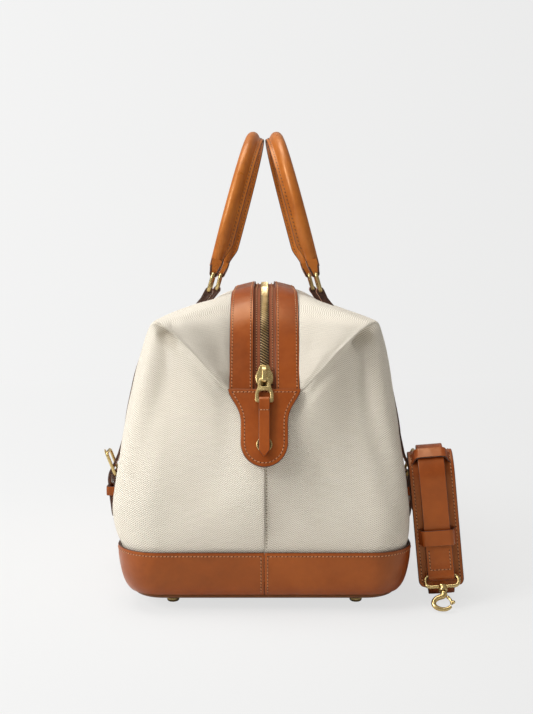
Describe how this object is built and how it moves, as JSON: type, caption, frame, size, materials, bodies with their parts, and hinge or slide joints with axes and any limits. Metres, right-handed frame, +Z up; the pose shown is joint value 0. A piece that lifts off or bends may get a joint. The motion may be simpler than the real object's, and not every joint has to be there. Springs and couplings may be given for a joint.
{
  "type": "duffel bag",
  "caption": "Canvas duffel bag with a moulded leather base band, rolled leather carry handles on brass rings, a top zip with end tabs and a detachable padded shoulder strap.",
  "frame": {"origin": "on the floor, under the middle of everything, the coiled shoulder strap beside the bag included; the middle of the bag body is at x = -0.0108", "axes": "+Z up, Y along the bag with the closed zip pull at the -Y end, X across the bag, the coiled strap on the +X side"},
  "size_m": [0.3619, 0.501, 0.4725],
  "materials": {
    "canvas": "natural cotton twill, matt",
    "leather": "tan vegetable-tanned leather, soft sheen, dark painted edges",
    "base_leather": "darker leather of the base panel",
    "lining": "plain cotton lining, matt",
    "board": "stiff fibre board",
    "cord": "twisted cotton cord",
    "zip_brass": "brass teeth on brown woven tape",
    "brass": "polished brass"
  },
  "bodies": {
    "bag": {"base_band_left": "leather", "base_band_right": "leather", "base_panel": "base_leather", "base_board": "board", "foot_front_left": "brass", "foot_front_right": "brass", "foot_back_left": "brass", "foot_back_right": "brass", "zip_strip_left": "leather", "zip_strip_right": "leather", "zip_half_left": "zip_brass", "zip_half_right": "zip_brass", "tab_front": "leather", "stud": "brass", "tab_back": "leather", "canvas_left": "canvas", "canvas_right": "canvas", "lining": "lining", "side_strap_front_left": "leather", "chape_front_left": "leather", "keeper_front_left": "leather", "side_strap_back_left": "leather", "chape_back_left": "leather", "keeper_back_left": "leather", "side_strap_front_right": "leather", "chape_front_right": "leather", "keeper_front_right": "leather", "side_strap_back_right": "leather", "chape_back_right": "leather", "keeper_back_right": "leather"},
    "slider": {"slider": "brass"},
    "pull": {"pull": "brass"},
    "puller": {"puller": "leather"},
    "ring_front_left": {"ring_front_left": "brass"},
    "ring_back_left": {"ring_back_left": "brass"},
    "ring_front_right": {"ring_front_right": "brass"},
    "ring_back_right": {"ring_back_right": "brass"},
    "handle_left": {"handle_left": "leather", "handle_core_left": "cord"},
    "handle_right": {"handle_right": "leather", "handle_core_right": "cord"},
    "buckle_front_left": {"buckle_front_left": "brass"},
    "prong_front_left": {"prong_front_left": "brass"},
    "buckle_back_left": {"buckle_back_left": "brass"},
    "prong_back_left": {"prong_back_left": "brass"},
    "buckle_front_right": {"buckle_front_right": "brass"},
    "prong_front_right": {"prong_front_right": "brass"},
    "buckle_back_right": {"buckle_back_right": "brass"},
    "prong_back_right": {"prong_back_right": "brass"},
    "buckle_shoulder": {"buckle_shoulder": "brass"},
    "prong_shoulder": {"prong_shoulder": "brass"},
    "shoulder_strap": {"shoulder_strap_long": "leather", "shoulder_strap_short": "leather", "shoulder_pad": "leather"},
    "bail_a": {"bail_a": "brass"},
    "hook_a": {"hook_a": "brass"},
    "gate_a": {"gate_a": "brass"},
    "bail_b": {"bail_b": "brass"},
    "hook_b": {"hook_b": "brass"},
    "gate_b": {"gate_b": "brass"}
  },
  "joints": [
    {"name": "slider_slide", "type": "slide", "parent": "bag", "child": "slider", "axis": [0, 0.4352, 0.9003], "range_m": [0, 0.05]},
    {"name": "pull_hinge", "type": "hinge", "parent": "slider", "child": "pull", "pos_m": [-0.0108, -0.2151, 0.21627], "axis": [-1, 0, 0], "range_deg": [0, 110]},
    {"name": "puller_hinge", "type": "hinge", "parent": "pull", "child": "puller", "pos_m": [-0.0108, -0.22674, 0.1982], "axis": [-1, 0, 0], "range_deg": [0, 60]},
    {"name": "ring_front_left_hinge", "type": "hinge", "parent": "bag", "child": "ring_front_left", "pos_m": [-0.0692, -0.085, 0.297], "axis": [0, -1, 0], "range_deg": [0, 85]},
    {"name": "ring_back_left_hinge", "type": "hinge", "parent": "bag", "child": "ring_back_left", "pos_m": [-0.0692, 0.085, 0.297], "axis": [0, -1, 0], "range_deg": [0, 85]},
    {"name": "handle_left_hinge", "type": "hinge", "parent": "ring_front_left", "child": "handle_left", "pos_m": [-0.06396, -0.085, 0.31526], "axis": [0, -1, 0], "range_deg": [0, 44]},
    {"name": "ring_front_right_hinge", "type": "hinge", "parent": "bag", "child": "ring_front_right", "pos_m": [0.0476, -0.085, 0.297], "axis": [0, 1, 0], "range_deg": [0, 85]},
    {"name": "ring_back_right_hinge", "type": "hinge", "parent": "bag", "child": "ring_back_right", "pos_m": [0.0476, 0.085, 0.297], "axis": [0, 1, 0], "range_deg": [0, 85]},
    {"name": "handle_right_hinge", "type": "hinge", "parent": "ring_front_right", "child": "handle_right", "pos_m": [0.04236, -0.085, 0.31526], "axis": [0, 1, 0], "range_deg": [0, 44]},
    {"name": "buckle_front_left_hinge", "type": "hinge", "parent": "bag", "child": "buckle_front_left", "pos_m": [-0.16806, -0.085, 0.103], "axis": [0, -1, 0], "range_deg": [-5, 5]},
    {"name": "prong_front_left_hinge", "type": "hinge", "parent": "buckle_front_left", "child": "prong_front_left", "pos_m": [-0.16806, -0.085, 0.103], "axis": [0, -1, 0], "range_deg": [0, 12]},
    {"name": "buckle_back_left_hinge", "type": "hinge", "parent": "bag", "child": "buckle_back_left", "pos_m": [-0.16806, 0.085, 0.103], "axis": [0, -1, 0], "range_deg": [-5, 5]},
    {"name": "prong_back_left_hinge", "type": "hinge", "parent": "buckle_back_left", "child": "prong_back_left", "pos_m": [-0.16806, 0.085, 0.103], "axis": [0, -1, 0], "range_deg": [0, 12]},
    {"name": "buckle_front_right_hinge", "type": "hinge", "parent": "bag", "child": "buckle_front_right", "pos_m": [0.13943, -0.085, 0.103], "axis": [0, 1, 0], "range_deg": [-5, 5]},
    {"name": "prong_front_right_hinge", "type": "hinge", "parent": "buckle_front_right", "child": "prong_front_right", "pos_m": [0.13943, -0.085, 0.103], "axis": [0, 1, 0], "range_deg": [0, 12]},
    {"name": "buckle_back_right_hinge", "type": "hinge", "parent": "bag", "child": "buckle_back_right", "pos_m": [0.13943, 0.085, 0.103], "axis": [0, 1, 0], "range_deg": [-5, 5]},
    {"name": "prong_back_right_hinge", "type": "hinge", "parent": "buckle_back_right", "child": "prong_back_right", "pos_m": [0.13943, 0.085, 0.103], "axis": [0, 1, 0], "range_deg": [0, 12]},
    {"name": "shoulder_strap_slide", "type": "slide", "parent": "bag", "child": "shoulder_strap", "axis": [1, 0, 0], "range_m": [0, 0.25]},
    {"name": "buckle_shoulder_hinge", "type": "hinge", "parent": "shoulder_strap", "child": "buckle_shoulder", "pos_m": [0.16108, -0.14445, 0.05772], "axis": [0.9898, -0.104, 0.0976], "range_deg": [-5, 5]},
    {"name": "prong_shoulder_hinge", "type": "hinge", "parent": "buckle_shoulder", "child": "prong_shoulder", "pos_m": [0.16108, -0.14445, 0.05772], "axis": [0.9898, -0.104, 0.0976], "range_deg": [0, 12]},
    {"name": "bail_a_hinge", "type": "hinge", "parent": "shoulder_strap", "child": "bail_a", "pos_m": [0.15746, -0.20691, 0.02787], "axis": [-0.9898, 0.104, -0.0976], "range_deg": [0, 60]},
    {"name": "hook_a_swivel", "type": "hinge", "parent": "bail_a", "child": "hook_a", "pos_m": [0.1574, -0.21473, 0.02013], "axis": [0.0053, 0.7104, 0.7037], "continuous": true},
    {"name": "gate_a_hinge", "type": "hinge", "parent": "hook_a", "child": "gate_a", "pos_m": [0.161, -0.2233, 0.01237], "axis": [0.1425, 0.696, -0.7037], "range_deg": [0, 18]},
    {"name": "bail_b_hinge", "type": "hinge", "parent": "shoulder_strap", "child": "bail_b", "pos_m": [0.15546, -0.17372, 0.0836], "axis": [-0.9898, 0.104, -0.0976], "range_deg": [0, 5]},
    {"name": "hook_b_swivel", "type": "hinge", "parent": "bail_b", "child": "hook_b", "pos_m": [0.15652, -0.17383, 0.07265], "axis": [-0.097, 0.0102, 0.9952], "continuous": true},
    {"name": "gate_b_hinge", "type": "hinge", "parent": "hook_b", "child": "gate_b", "pos_m": [0.16129, -0.17434, 0.06154], "axis": [0.1045, 0.9945, 0], "range_deg": [0, 18]}
  ],
  "couplings": [
    {"joint": "ring_back_left_hinge", "follows": "ring_front_left_hinge", "ratio": 1},
    {"joint": "ring_back_right_hinge", "follows": "ring_front_right_hinge", "ratio": 1}
  ]
}
